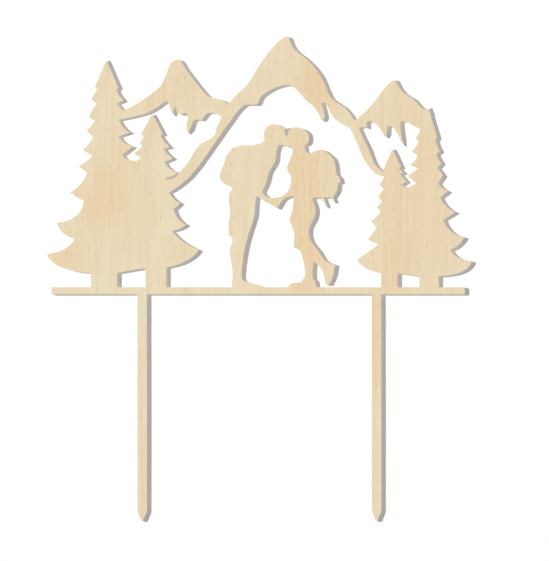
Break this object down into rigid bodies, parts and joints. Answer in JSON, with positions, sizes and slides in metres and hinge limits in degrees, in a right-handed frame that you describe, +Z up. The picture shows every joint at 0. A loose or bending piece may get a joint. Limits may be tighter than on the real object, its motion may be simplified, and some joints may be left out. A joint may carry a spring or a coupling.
{
  "type": "cake topper",
  "caption": "Flat laser-cut plywood cake topper: a hiking couple under mountain peaks between pine trees, on a rail with stakes that push into the cake.",
  "frame": {"origin": "middle of the rail's underside, where it sits on the cake, halfway through the sheet", "axes": "+Z up, along the pines and away from the stakes' points; +X along the rail, to the right as seen from the front; the front face looks along -Y"},
  "size_m": [0.1501, 0.003, 0.1711],
  "materials": {
    "birch_face": "sanded, unvarnished",
    "birch_core": "laser-cut edge, lightly toasted",
    "glue_line": "cured glue film"
  },
  "bodies": {
    "root": {"front_veneer": "birch_face", "front_glue_line": "glue_line", "core_veneer": "birch_core", "rear_glue_line": "glue_line", "rear_veneer": "birch_face"}
  },
  "joints": []
}
